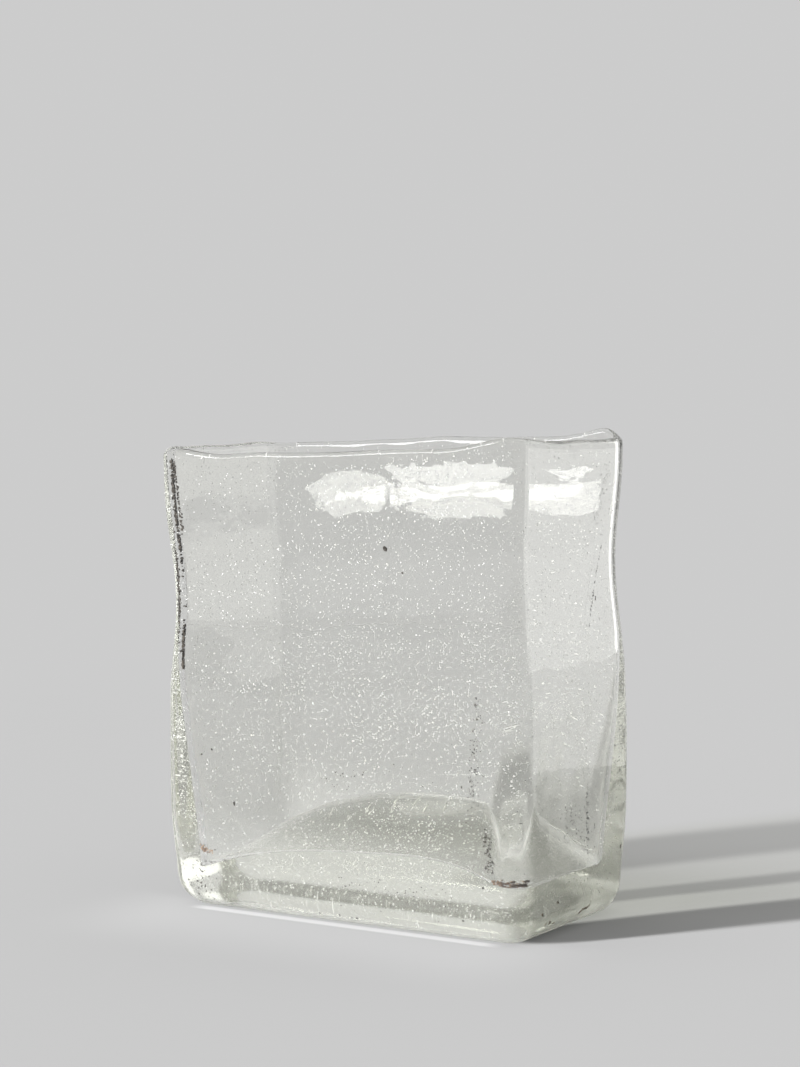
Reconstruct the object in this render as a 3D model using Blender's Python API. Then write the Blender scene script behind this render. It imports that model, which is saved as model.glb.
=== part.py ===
"""A slab vase of clear bubble glass, blown into a rectangular mould and fire-polished at the rim.

It is one piece of glass. Sizes are in metres, with +Z up. The origin is on the flat sole, in the
middle of the vase's extent in plan. The broad faces look along -Y and +Y and the narrow sides along
-X and +X. The skin is one loft of rounded-rectangle sections: up the outside from the foot, over the
lip, down the cavity and across the kicked floor.
"""

import math

import bmesh
import bpy
from mathutils import Vector

# The mould, measured over the outside of the glass
WIDTH = 0.1577
DEPTH = 0.0870
HEIGHT = 0.178
CORNER_RADIUS = 0.0085
FOOT_CORNER_RADIUS = 0.0145
FOOT_RADIUS = 0.0120
FOOT_CORNER_HEIGHT = 0.040
SOLE_SHIFT = 0.0015

# How the sides swell and draw in on the way up
BELLY_SWELL = 0.0005
BELLY_HEIGHT = 0.058
BELLY_SPREAD = 0.052
WAIST_PINCH = 0.0021
WAIST_HEIGHT = 0.126
WAIST_SLANT = 0.004
WAIST_SPREAD = 0.040
RIM_FLARE = 0.0004
FLARE_LENGTH = 0.038
BROAD_BULGE = 0.0012
BROAD_HOLLOW = 0.0016

# The top leans a little towards -X, and its rim isn't level
RIM_LEAN = 0.0025
RIM_TILT = 0.0080
EAR_LENGTH = 0.034
LEFT_FRONT_EAR = 0.0032
LEFT_BACK_EAR = 0.0005
RIGHT_FRONT_EAR = 0.0036
RIGHT_BACK_EAR = 0.0040
LEFT_SAG = 0.0028
RIGHT_SAG = 0.0050
SAG_REACH = 0.0115
SAG_FULLNESS = 0.6
BACK_ARCH = 0.0012
ARCH_REACH = 0.050

# The wall, thin at the lip and thick towards the floor
LIP_THICKNESS = 0.0034
WALL_THICKNESS = 0.0032
WALL_AT_FLOOR = 0.0110
THICKENS_BELOW = 0.112
CAVITY_CORNER_RADIUS = 0.0065
CAVITY_CORNER_AT_FLOOR = 0.0090
CAVITY_SHIFT = 0.0016
FLOOR_FILLET = 0.0025

# The floor of the cavity: thicker towards +X, and kicked up into a dome
FLOOR_THICKNESS = 0.0160
FLOOR_TILT = 0.0055
EDGE_KICK = 0.0107
MIDDLE_KICK = 0.0250
KICK_CREST_X = 0.0196
KICK_FULLNESS = 2.9

# How finely the glass is faceted
BROAD_STEPS = 14
NARROW_STEPS = 7
CORNER_STEPS = 8
FOOT_STEPS = 6
WALL_STEPS = 22
LIP_STEPS = 6
FILLET_STEPS = 3
FLOOR_STEPS = 9
LEAST_RADIUS = 0.0006


def ease(t):
    """A smooth step: 0 below 0, 1 above 1."""
    t = min(max(t, 0.0), 1.0)
    return t * t * (3 - 2 * t)


def bell(t):
    """A smooth bump: 1 at 0, and 0 from -1 outwards and from 1 outwards."""
    return math.cos(math.pi * t / 2) ** 2 if abs(t) < 1 else 0.0


def settle(x, y, z):
    """Moves a point of the plain mould to where the glass has swelled, drawn in, flared or leaned."""
    across = x / (WIDTH / 2)
    deep = y / (DEPTH / 2)
    belly = bell((z - BELLY_HEIGHT) / BELLY_SPREAD)
    waist = bell((z - WAIST_HEIGHT - WAIST_SLANT * across) / WAIST_SPREAD)
    flare = RIM_FLARE * ease((z - HEIGHT + FLARE_LENGTH) / FLARE_LENGTH)
    out = BELLY_SWELL * belly - WAIST_PINCH * waist + flare
    bow = (BROAD_BULGE * belly - BROAD_HOLLOW * waist) * max(1 - across**2, 0.0)
    lean = RIM_LEAN * ease((z - BELLY_HEIGHT) / (HEIGHT - BELLY_HEIGHT))
    return (x + out * across - lean, y + (out + bow) * deep)


def outer_corner(z):
    """The radius of the upright outer corners at this height: they are rounder by the foot."""
    return CORNER_RADIUS + (FOOT_CORNER_RADIUS - CORNER_RADIUS) * ease(1 - z / FOOT_CORNER_HEIGHT)


def thickening(z):
    """From 0 on the thin upper wall to 1 where the wall meets the floor."""
    return ease((THICKENS_BELOW - z) / (THICKENS_BELOW - FLOOR_THICKNESS))


def wall(z):
    """The thickness of the wall at this height."""
    lip = (LIP_THICKNESS - WALL_THICKNESS) * ease((z - HEIGHT + FLARE_LENGTH) / FLARE_LENGTH)
    return WALL_THICKNESS + lip + (WALL_AT_FLOOR - WALL_THICKNESS) * thickening(z)


def cavity_corner(z):
    """The radius of the cavity's upright corners at this height."""
    return CAVITY_CORNER_RADIUS + (CAVITY_CORNER_AT_FLOOR - CAVITY_CORNER_RADIUS) * thickening(z)


def rim_rise(x, y):
    """How far the rim stands above HEIGHT here: it tilts, with corners drawn up and an end that sags."""
    half = WIDTH / 2
    from_front = min(max(y / DEPTH + 0.5, 0.0), 1.0)
    left_ear = LEFT_FRONT_EAR + (LEFT_BACK_EAR - LEFT_FRONT_EAR) * from_front
    right_ear = RIGHT_FRONT_EAR + (RIGHT_BACK_EAR - RIGHT_FRONT_EAR) * from_front
    left = left_ear * ease((EAR_LENGTH - half - x) / EAR_LENGTH)
    right = right_ear * ease((EAR_LENGTH - half + x) / EAR_LENGTH)
    left_end = ease((SAG_REACH - half - x) / SAG_REACH)
    right_end = ease((SAG_REACH - half + x) / SAG_REACH)
    near_corner = left_end * ease((SAG_REACH - DEPTH / 2 - y) / SAG_REACH)
    sag = LEFT_SAG * near_corner + RIGHT_SAG * right_end * from_front**SAG_FULLNESS
    arch = BACK_ARCH * bell(x / ARCH_REACH) * from_front
    return RIM_TILT / 2 * x / half + left + right + arch - sag


def floor_rise(x, y):
    """How far the cavity's floor stands above FLOOR_THICKNESS at this place in plan."""
    half = WIDTH / 2 - WALL_AT_FLOOR
    reach = half - KICK_CREST_X if x > KICK_CREST_X else half + KICK_CREST_X
    along = 1 - min(abs(x - KICK_CREST_X) / reach, 1.0) ** KICK_FULLNESS
    deep = min(abs(y) / (DEPTH / 2 - WALL_AT_FLOOR), 1.0)
    kick = EDGE_KICK + (MIDDLE_KICK - EDGE_KICK) * math.cos(math.pi / 2 * deep)
    return FLOOR_TILT / 2 * x / half + kick * along


def rounded_rectangle(half_x, half_y, radius):
    """Points round a rounded rectangle, anticlockwise from the start of its -Y side."""
    radius = max(radius, LEAST_RADIUS)
    straight_x = half_x - radius
    straight_y = half_y - radius
    sides = (
        (straight_x, -straight_y, 2 * straight_x, BROAD_STEPS),
        (straight_x, straight_y, 2 * straight_y, NARROW_STEPS),
        (-straight_x, straight_y, 2 * straight_x, BROAD_STEPS),
        (-straight_x, -straight_y, 2 * straight_y, NARROW_STEPS),
    )
    points = []
    for turn, (corner_x, corner_y, length, steps) in enumerate(sides):
        start = math.radians(90 * turn - 90)
        way_x, way_y = -math.sin(start), math.cos(start)
        for step in range(steps):
            back = length * (1 - step / steps)
            x = corner_x + radius * math.cos(start) - back * way_x
            y = corner_y + radius * math.sin(start) - back * way_y
            points.append((x, y))
        for step in range(CORNER_STEPS):
            angle = start + math.pi / 2 * step / CORNER_STEPS
            points.append((corner_x + radius * math.cos(angle), corner_y + radius * math.sin(angle)))
    return points


def outline(inset, radius):
    """The mould's outline in plan, drawn in all round by inset."""
    return rounded_rectangle(WIDTH / 2 - inset, DEPTH / 2 - inset, radius)


def outside(x, y, z):
    """A point of the outer skin: settled, and lifted to follow the uneven rim."""
    return (*settle(x, y, z), z + rim_rise(x, y) * ease(z / HEIGHT))


def inside(x, y, z):
    """A point of the cavity: as outside, and near the floor moved towards -X and lifted by the kick."""
    from_floor = min(max((z - FLOOR_THICKNESS) / (HEIGHT - FLOOR_THICKNESS), 0.0), 1.0)
    lift = rim_rise(x, y) * ease(z / HEIGHT) + floor_rise(x, y) * (1 - from_floor) ** 2
    return (*settle(x - CAVITY_SHIFT * thickening(z), y, z), z + lift)


def foot_rings():
    """The rounded foot, from the edge of the flat base up to the side."""
    for step in range(FOOT_STEPS):
        angle = math.pi / 2 * step / FOOT_STEPS
        inset = FOOT_RADIUS * (1 - math.sin(angle))
        z = FOOT_RADIUS * (1 - math.cos(angle))
        shift = SOLE_SHIFT * inset / FOOT_RADIUS
        yield [outside(x + shift, y, z) for x, y in outline(inset, outer_corner(z) - inset)]


def outer_wall_rings():
    """The outside of the wall, from the top of the foot to the start of the lip."""
    high = HEIGHT - LIP_THICKNESS / 2
    for step in range(WALL_STEPS + 1):
        z = FOOT_RADIUS + (high - FOOT_RADIUS) * step / WALL_STEPS
        yield [outside(x, y, z) for x, y in outline(0.0, outer_corner(z))]


def lip_rings():
    """The fire-polished lip, a half round from the outside of the wall to the cavity."""
    radius = LIP_THICKNESS / 2
    for step in range(1, LIP_STEPS):
        angle = math.pi * step / LIP_STEPS
        inset = radius * (1 - math.cos(angle))
        z = HEIGHT - radius + radius * math.sin(angle)
        corner = CORNER_RADIUS + (CAVITY_CORNER_RADIUS - CORNER_RADIUS) * step / LIP_STEPS
        yield [outside(x, y, z) for x, y in outline(inset, corner)]


def cavity_rings():
    """The cavity's wall, from the end of the lip down to the fillet round the floor."""
    high = HEIGHT - LIP_THICKNESS / 2
    low = FLOOR_THICKNESS + FLOOR_FILLET
    for step in range(WALL_STEPS + 1):
        z = high + (low - high) * step / WALL_STEPS
        yield [inside(x, y, z) for x, y in outline(wall(z), cavity_corner(z))]


def fillet_rings():
    """The hollow fillet between the cavity's wall and its floor."""
    for step in range(1, FILLET_STEPS + 1):
        angle = math.pi / 2 * step / FILLET_STEPS
        inset = FLOOR_FILLET * (1 - math.cos(angle))
        z = FLOOR_THICKNESS + FLOOR_FILLET * (1 - math.sin(angle))
        corner = CAVITY_CORNER_AT_FLOOR - inset
        yield [inside(x, y, z) for x, y in outline(WALL_AT_FLOOR + inset, corner)]


def floor_rings():
    """The kicked floor, in outlines that shrink and grow rounder towards its middle."""
    inset = WALL_AT_FLOOR + FLOOR_FILLET
    half_x = WIDTH / 2 - inset
    half_y = DEPTH / 2 - inset
    for step in range(1, FLOOR_STEPS):
        share = 1 - step / FLOOR_STEPS
        corner = (CAVITY_CORNER_AT_FLOOR - FLOOR_FILLET) * share + half_y * share * (1 - share)
        ring = rounded_rectangle(half_x * share, half_y * share, corner)
        yield [inside(x, y, FLOOR_THICKNESS) for x, y in ring]


def make_material():
    """Clear soda glass with a faint grey-green cast."""
    material = bpy.data.materials.new("bubble_glass")
    material.use_nodes = True
    shader = material.node_tree.nodes["Principled BSDF"]
    shader.inputs["Base Color"].default_value = (0.93, 0.94, 0.90, 1.0)
    shader.inputs["Roughness"].default_value = 0.02
    shader.inputs["Metallic"].default_value = 0.0
    shader.inputs["IOR"].default_value = 1.51
    shader.inputs["Transmission Weight"].default_value = 1.0
    return material


def loft(mesh, rings):
    """Skins the rings in order, and closes the first with a flat face and the last with a fan."""
    loops = [[mesh.verts.new(point) for point in ring] for ring in rings]
    count = len(loops[0])
    for lower, upper in zip(loops, loops[1:]):
        for here in range(count):
            after = (here + 1) % count
            mesh.faces.new((lower[here], lower[after], upper[after], upper[here]))
    mesh.faces.new(tuple(reversed(loops[0])))
    centre = mesh.verts.new(inside(0.0, 0.0, FLOOR_THICKNESS))
    for here in range(count):
        mesh.faces.new((loops[-1][here], loops[-1][(here + 1) % count], centre))


def centre_in_plan(mesh):
    """Moves the mesh so that the middle of its extent in X and in Y is on the origin."""
    xs = [vertex.co.x for vertex in mesh.verts]
    ys = [vertex.co.y for vertex in mesh.verts]
    shift = Vector((-(min(xs) + max(xs)) / 2, -(min(ys) + max(ys)) / 2, 0.0))
    bmesh.ops.translate(mesh, verts=mesh.verts, vec=shift)


def make_vase():
    """The whole vase, as one closed skin."""
    rings = [
        *foot_rings(),
        *outer_wall_rings(),
        *lip_rings(),
        *cavity_rings(),
        *fillet_rings(),
        *floor_rings(),
    ]
    skin = bmesh.new()
    loft(skin, rings)
    centre_in_plan(skin)
    bmesh.ops.recalc_face_normals(skin, faces=skin.faces)
    mesh = bpy.data.meshes.new("vase_body")
    skin.to_mesh(mesh)
    skin.free()
    mesh.shade_smooth()
    mesh.materials.append(make_material())
    vase = bpy.data.objects.new("vase_body", mesh)
    bpy.context.scene.collection.objects.link(vase)
    return vase


def main():
    for thing in list(bpy.data.objects):
        bpy.data.objects.remove(thing, do_unlink=True)
    make_vase()


main()
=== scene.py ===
"""The looks of the bubble glass vase: the fine blown body, its seed bubbles, stones and stains, and its stage.

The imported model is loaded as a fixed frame. The body repeats the form of the part's own solid with a finer
skin, and adds what blowing leaves behind: a wandering rim and ripples. Sizes are in metres, +Z up.
"""

import bisect
import itertools
import math
import random

import bmesh
import bpy
import numpy as np
from bpy.props import FloatProperty, FloatVectorProperty, IntProperty, PointerProperty
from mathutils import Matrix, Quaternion, Vector, noise
from mathutils.bvhtree import BVHTree


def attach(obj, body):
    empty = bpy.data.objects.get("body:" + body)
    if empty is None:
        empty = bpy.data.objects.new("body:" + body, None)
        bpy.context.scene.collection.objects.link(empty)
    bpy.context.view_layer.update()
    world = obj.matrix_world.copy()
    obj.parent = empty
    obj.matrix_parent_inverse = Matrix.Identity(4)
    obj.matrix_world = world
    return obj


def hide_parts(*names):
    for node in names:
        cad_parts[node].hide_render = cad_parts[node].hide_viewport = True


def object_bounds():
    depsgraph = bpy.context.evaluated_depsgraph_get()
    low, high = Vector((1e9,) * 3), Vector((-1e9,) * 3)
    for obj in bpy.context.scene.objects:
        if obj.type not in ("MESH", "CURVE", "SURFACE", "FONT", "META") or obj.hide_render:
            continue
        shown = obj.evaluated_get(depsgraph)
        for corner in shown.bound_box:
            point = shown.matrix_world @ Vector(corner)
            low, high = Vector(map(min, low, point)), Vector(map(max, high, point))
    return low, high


bl_info = {
    "name": "Bubble Glass Vase",
    "version": (1, 0, 0),
    "blender": (4, 5, 0),
    "location": "3D View > Sidebar > Glass Vase",
    "description": "Blows a slab vase of bubble glass over its packed frame and sets its stage",
    "category": "Add Mesh",
}

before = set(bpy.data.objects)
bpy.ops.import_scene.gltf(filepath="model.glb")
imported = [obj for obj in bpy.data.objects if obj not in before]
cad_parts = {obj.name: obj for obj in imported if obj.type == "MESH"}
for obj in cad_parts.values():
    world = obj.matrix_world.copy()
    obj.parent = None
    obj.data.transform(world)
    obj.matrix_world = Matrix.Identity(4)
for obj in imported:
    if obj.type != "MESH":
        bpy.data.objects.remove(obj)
CAD_BOX = [list(corner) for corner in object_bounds()]
CAD_NODE = "vase_body"
PHOTO_PIXELS = (800, 1067)


def length(name, description, default):
    """A size property in metres."""
    return FloatProperty(name=name, description=description, default=default, unit="LENGTH", precision=5)


def share(name, description, default):
    """A property without a unit."""
    return FloatProperty(name=name, description=description, default=default, precision=4)


def number(name, description, default):
    """A property with a plain number of any size."""
    return FloatProperty(name=name, description=description, default=default)


def angle(name, description, degrees):
    """An angle property, given in degrees."""
    return FloatProperty(name=name, description=description, default=math.radians(degrees), subtype="ANGLE")


def colour(name, description, default):
    """A linear colour property."""
    return FloatVectorProperty(
        name=name, description=description, default=default, subtype="COLOR", size=3, min=0.0, max=1.0
    )


class VaseMould(bpy.types.PropertyGroup):
    """The mould and how the glass swelled, drew in and leaned in it."""

    width: length("Width", "Plain mould along X", 0.1577)
    depth: length("Depth", "Plain mould along Y", 0.0870)
    height: length("Height", "Mean height of the rim", 0.178)
    corner_radius: length("Corner radius", "Upright outer corners", 0.0085)
    foot_corner_radius: length("Foot corner radius", "Upright outer corners by the foot", 0.0145)
    foot_radius: length("Foot radius", "Rounding from the side to the sole", 0.0120)
    foot_corner_height: length("Foot corner height", "Where the corners have sharpened", 0.040)
    sole_shift: length("Sole shift", "How far the sole lies towards +X", 0.0015)
    belly_swell: length("Belly swell", "How far the sides swell out low down", 0.0005)
    belly_height: length("Belly height", "Height of the widest place", 0.058)
    belly_spread: length("Belly spread", "How far the belly reaches up and down", 0.052)
    waist_pinch: length("Waist pinch", "How far the sides draw in", 0.0021)
    waist_height: length("Waist height", "Height of the narrowest place", 0.126)
    waist_slant: length("Waist slant", "How much higher the waist is at +X", 0.004)
    waist_spread: length("Waist spread", "How far the waist reaches up and down", 0.040)
    rim_flare: length("Rim flare", "How far the rim opens out", 0.0004)
    flare_length: length("Flare length", "Height over which the rim opens out", 0.038)
    broad_bulge: length("Broad bulge", "Bulge of the broad faces at the belly", 0.0012)
    broad_hollow: length("Broad hollow", "Hollow of the broad faces at the waist", 0.0003)
    rim_curl: length("Rim curl", "How far the broad faces turn out below the rim", 0.0015)
    curl_slant: share("Curl slant", "How much more they turn out at -X than at +X", 0.30)
    curl_from: length("Curl from", "Height where they start to turn out", 0.151)
    curl_to: length("Curl to", "Height where they stand straight again", 0.180)
    rim_lean: length("Rim lean", "How far the top leans towards -X", 0.0025)
    rim_tilt: length("Rim tilt", "How much higher the rim is at +X", 0.0080)
    ear_length: length("Ear length", "How far each drawn-up corner reaches along the rim", 0.034)
    left_front_ear: length("Left front ear", "Rise of the rim's -X, -Y corner", 0.0032)
    left_back_ear: length("Left back ear", "Rise of the rim's -X, +Y corner", 0.0005)
    right_front_ear: length("Right front ear", "Rise of the rim's +X, -Y corner", 0.0036)
    right_back_ear: length("Right back ear", "Rise of the rim's +X, +Y corner", 0.0040)
    left_sag: length("Left sag", "How far the rim sinks at its -X, -Y corner", 0.0028)
    right_sag: length("Right sag", "How far the rim sinks along its +X end", 0.0050)
    sag_reach: length("Sag reach", "How far along the rim a sag reaches", 0.0115)
    sag_fullness: share("Sag fullness", "Below 1 the +X end sinks sooner", 0.6)
    back_arch: length("Back arch", "Rise in the middle of the +Y side of the rim", 0.0012)
    arch_reach: length("Arch reach", "How far that rise reaches to each side", 0.050)


class VaseGlass(bpy.types.PropertyGroup):
    """The thickness of the glass and the form of the hollow."""

    lip_thickness: length("Lip thickness", "Fire-polished lip", 0.0034)
    wall_thickness: length("Wall thickness", "Upper wall", 0.0032)
    wall_at_floor: length("Wall at the floor", "Wall where it meets the floor", 0.0110)
    thickens_below: length("Thickens below", "Height where the wall starts to thicken", 0.112)
    cavity_corner_radius: length("Hollow's corner radius", "Upright inner corners", 0.0065)
    cavity_corner_at_floor: length("Hollow's corner at the floor", "Upright inner corners low down", 0.0090)
    cavity_shift: length("Hollow's shift", "How far the hollow's foot lies towards -X", 0.0016)
    floor_fillet: length("Floor fillet", "Rounding between wall and floor", 0.0025)
    floor_thickness: length("Floor thickness", "Glass under the floor's corners", 0.0160)
    floor_tilt: length("Floor tilt", "How much higher the floor is at +X", 0.0055)
    edge_kick: length("Kick at the wall", "Rise of the floor along the broad walls", 0.0107)
    middle_kick: length("Kick in the middle", "Rise of the floor's dome", 0.0250)
    kick_crest_x: length("Kick crest", "Place of the dome's crest along X", 0.0196)
    kick_fullness: share("Kick fullness", "2 is a plain arch, more is fuller", 2.9)


class BlownSurface(bpy.types.PropertyGroup):
    """What blowing leaves on the surfaces."""

    outer_ripple: length("Outer ripple", "Height of the ripples outside", 0.00010)
    inner_ripple: length("Inner ripple", "Height of the ripples inside", 0.00028)
    ripple_length: length("Ripple length", "Distance from one ripple to the next", 0.030)
    rim_wander: length("Rim wander", "How far the rim wanders up and down", 0.0007)
    rim_wander_length: length("Rim wander length", "Length of one wander along the rim", 0.022)
    skin_colour: colour("Skin colour", "What each skin lets through", (0.965, 0.966, 0.950))
    tint: colour("Tint", "What a metre of the glass lets through, before its density", (0.875, 0.888, 0.800))
    tint_density: number("Tint density", "Strength of the tint", 8.0)
    roughness: share("Roughness", "Roughness of the fire-polished skin", 0.012)
    base_roughness: share("Base roughness", "More roughness towards the base", 0.10)
    sole_roughness: share("Sole roughness", "More roughness on the worn sole", 0.30)
    veil: share("Veil", "Share of light that the finest seeds in the walls scatter", 0.003)
    base_milk: share("Base milk", "Share that they scatter in the base", 0.045)
    speck_density: number("Speck density", "Seed specks in a metre of skin", 430.0)
    speck_strength: share("Speck strength", "Share of light that a seed speck scatters", 0.34)
    # Painted shade: how much deeper the shadow is where the lamp's light crosses the base.
    thick_shadow: colour("Thick shadow", "What the lamp's light keeps of itself in the base", (0.84, 0.845, 0.83))


class SeedBubbles(bpy.types.PropertyGroup):
    """The seed bubbles trapped in the glass."""

    front_count: IntProperty(name="Front bubbles", description="In the -Y and +X walls", default=11800)
    back_count: IntProperty(name="Back bubbles", description="In the +Y and -X walls", default=11900)
    base_count: IntProperty(name="Base bubbles", description="In the base", default=7500)
    smallest: length("Smallest radius", "Radius of the smallest bubbles", 0.00011)
    largest: length("Largest radius", "Radius of the largest bubbles", 0.00036)
    crowding: share("Crowding", "Above 1 more of the bubbles are small", 2.3)
    stretch: share("Stretch", "Greatest length to width of a drawn-out bubble", 1.25)
    clearness: share("Clearness", "How much of a bubble is clear, and how much silvery", 0.52)
    bubble_roughness: share("Roughness", "Roughness of a bubble's skin", 0.25)
    seed: IntProperty(name="Seed", description="Start of the random places", default=41)


class VaseStage(bpy.types.PropertyGroup):
    """The floor, the lamps and the camera."""

    floor_colour: colour("Floor colour", "The pale grey paper near the vase", (0.60, 0.60, 0.60))
    far_colour: colour("Far colour", "The paper and the wall behind, as the camera sees them", (0.605, 0.605, 0.605))
    fill_colour: colour("Fill colour", "The soft light of the room on the vase", (0.27, 0.27, 0.27))
    key_power: FloatProperty(name="Key power", description="Tall soft lamp at the left", default=117.0, unit="POWER")
    key_azimuth: angle("Key azimuth", "Round the vase from -Y", -31.5)
    key_elevation: angle("Key elevation", "Above the floor", 18.0)
    key_distance: length("Key distance", "From the vase", 2.2)
    key_width: length("Key width", "Width of the lamp", 0.13)
    key_height: length("Key height", "Height of the lamp", 0.68)
    window_width: length("Window width", "Width of the pale window that the glass shows in the lamp's place", 0.42)
    window_height: length("Window height", "Height of that window", 0.58)
    window_glow: number("Window glow", "Brightness of that window", 12.0)
    # Painted light in the paper's colour: a bright line along the foot and a soft sheet of light in front of it.
    painted_foot_line: share("Foot line", "Extra brightness of the line of light along the foot's -Y side", 0.45)
    painted_front_glow: share("Foot glow", "Extra brightness of the paper in front of the foot", 0.12)
    card_azimuth: angle("Card azimuth", "Round the vase from -Y", 149.0)
    card_distance: length("Card distance", "From the vase", 0.40)
    card_width: length("Card width", "Width of the white card", 0.34)
    card_height: length("Card height", "Height of the white card", 0.16)
    card_glow: number("Card glow", "Brightness of the white card", 1.35)
    card_colour: colour("Card colour", "The card as the glass shows it", (1.0, 1.0, 0.98))
    camera_azimuth: angle("Camera azimuth", "Round the vase from -Y", 31.2)
    camera_pitch: angle("Camera pitch", "How far it looks down", 5.1766)
    camera_distance: length("Camera distance", "From the vase's axis", 1.158)
    camera_height: length("Camera height", "Above the floor", 0.2492)
    camera_aside: length("Camera aside", "To the right of the line to the axis", 0.002)
    focal_pixels: number("Focal length", "In the photo's pixels", 3050.0)


def ease(t):
    """A smooth step: 0 below 0, 1 above 1."""
    t = np.clip(t, 0.0, 1.0)
    return t * t * (3 - 2 * t)


def bell(t):
    """A smooth bump: 1 at 0, and 0 from -1 outwards and from 1 outwards."""
    return np.where(np.abs(t) < 1, np.cos(np.pi * np.clip(t, -1, 1) / 2) ** 2, 0.0)


class VaseForm:
    """The vase's skin as a stack of rings, from the sole up, over the lip and down to the floor's middle."""

    BROAD_STEPS = 56
    NARROW_STEPS = 30
    CORNER_STEPS = 14
    FOOT_STEPS = 12
    WALL_STEPS = 84
    LIP_STEPS = 12
    FILLET_STEPS = 7
    FLOOR_STEPS = 32
    LEAST_RADIUS = 0.0006
    CURL_GROWTH = 0.06

    def __init__(self, mould, glass, surface):
        self.m = mould
        self.g = glass
        self.s = surface

    def settle(self, x, y, z):
        """Moves points of the plain mould to where the glass has swelled, drawn in, flared or leaned."""
        m = self.m
        across = x / (m.width / 2)
        deep = y / (m.depth / 2)
        belly = bell((z - m.belly_height) / m.belly_spread)
        waist = bell((z - m.waist_height - m.waist_slant * across) / m.waist_spread)
        flare = m.rim_flare * ease((z - m.height + m.flare_length) / m.flare_length)
        out = m.belly_swell * belly - m.waist_pinch * waist + flare
        bow = (m.broad_bulge * belly - m.broad_hollow * waist) * np.maximum(1 - across**2, 0.0)
        curl = ease((z - m.curl_from - m.waist_slant * across) / (m.curl_to - m.curl_from)) - 0.5
        curl = curl * (1 - m.curl_slant * across)
        above_belly = ease((z - m.belly_height) / self.CURL_GROWTH)
        bow = bow + m.rim_curl * curl * above_belly * np.maximum(1 - across**6, 0.0)
        lean = m.rim_lean * ease((z - m.belly_height) / (m.height - m.belly_height))
        return x + out * across - lean, y + (out + bow) * deep

    def outer_corner(self, z):
        """The radius of the upright outer corners at this height."""
        m = self.m
        return m.corner_radius + (m.foot_corner_radius - m.corner_radius) * ease(1 - z / m.foot_corner_height)

    def thickening(self, z):
        """From 0 on the thin upper wall to 1 where the wall meets the floor."""
        g = self.g
        return ease((g.thickens_below - z) / (g.thickens_below - g.floor_thickness))

    def wall(self, z):
        """The thickness of the wall at this height."""
        g, m = self.g, self.m
        lip = (g.lip_thickness - g.wall_thickness) * ease((z - m.height + m.flare_length) / m.flare_length)
        return g.wall_thickness + lip + (g.wall_at_floor - g.wall_thickness) * self.thickening(z)

    def cavity_corner(self, z):
        """The radius of the hollow's upright corners at this height."""
        g = self.g
        return g.cavity_corner_radius + (g.cavity_corner_at_floor - g.cavity_corner_radius) * self.thickening(z)

    def rim_rise(self, x, y):
        """How far the rim stands above its mean height at this place in plan."""
        m = self.m
        half = m.width / 2
        from_front = np.clip(y / m.depth + 0.5, 0.0, 1.0)
        left_ear = m.left_front_ear + (m.left_back_ear - m.left_front_ear) * from_front
        right_ear = m.right_front_ear + (m.right_back_ear - m.right_front_ear) * from_front
        left = left_ear * ease((m.ear_length - half - x) / m.ear_length)
        right = right_ear * ease((m.ear_length - half + x) / m.ear_length)
        left_end = ease((m.sag_reach - half - x) / m.sag_reach)
        right_end = ease((m.sag_reach - half + x) / m.sag_reach)
        near_corner = left_end * ease((m.sag_reach - m.depth / 2 - y) / m.sag_reach)
        sag = m.left_sag * near_corner + m.right_sag * right_end * from_front**m.sag_fullness
        arch = m.back_arch * bell(x / m.arch_reach) * from_front
        return m.rim_tilt / 2 * x / half + left + right + arch - sag

    def floor_rise(self, x, y):
        """How far the hollow's floor stands above its corners' mean height at this place in plan."""
        g, m = self.g, self.m
        half = m.width / 2 - g.wall_at_floor
        reach = np.where(x > g.kick_crest_x, half - g.kick_crest_x, half + g.kick_crest_x)
        along = 1 - np.minimum(np.abs(x - g.kick_crest_x) / reach, 1.0) ** g.kick_fullness
        deep = np.minimum(np.abs(y) / (m.depth / 2 - g.wall_at_floor), 1.0)
        kick = g.edge_kick + (g.middle_kick - g.edge_kick) * np.cos(np.pi / 2 * deep)
        return g.floor_tilt / 2 * x / half + kick * along

    def rounded_rectangle(self, half_x, half_y, radius):
        """Points round a rounded rectangle, anticlockwise from the start of its -Y side, as arrays x and y."""
        radius = max(radius, self.LEAST_RADIUS)
        straight_x = half_x - radius
        straight_y = half_y - radius
        sides = (
            (straight_x, -straight_y, 2 * straight_x, self.BROAD_STEPS),
            (straight_x, straight_y, 2 * straight_y, self.NARROW_STEPS),
            (-straight_x, straight_y, 2 * straight_x, self.BROAD_STEPS),
            (-straight_x, -straight_y, 2 * straight_y, self.NARROW_STEPS),
        )
        points = []
        for turn, (corner_x, corner_y, run, steps) in enumerate(sides):
            start = math.radians(90 * turn - 90)
            back = run * (1 - np.arange(steps) / steps)
            points.append(
                np.stack(
                    [
                        corner_x + radius * math.cos(start) + back * math.sin(start),
                        corner_y + radius * math.sin(start) - back * math.cos(start),
                    ],
                    axis=1,
                )
            )
            angle = start + np.pi / 2 * np.arange(self.CORNER_STEPS) / self.CORNER_STEPS
            points.append(
                np.stack([corner_x + radius * np.cos(angle), corner_y + radius * np.sin(angle)], axis=1)
            )
        return np.concatenate(points).T

    def outline(self, inset, radius):
        """The mould's outline in plan, drawn in all round by inset."""
        return self.rounded_rectangle(self.m.width / 2 - inset, self.m.depth / 2 - inset, radius)

    def wander(self, x, y):
        """How far the rim wanders up and down at each place in plan."""
        step = self.s.rim_wander_length
        return self.s.rim_wander * np.array([noise.noise((a / step, b / step, 3.7)) for a, b in zip(x, y)])

    def outside(self, x, y, z):
        """A ring of the outer skin: settled, and lifted to follow the uneven rim."""
        lift = (self.rim_rise(x, y) + self.wander(x, y) * ease(z / self.m.height * 6 - 5)) * ease(z / self.m.height)
        across, deep = self.settle(x, y, z)
        return np.stack([across, deep, z + lift], axis=1)

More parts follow.
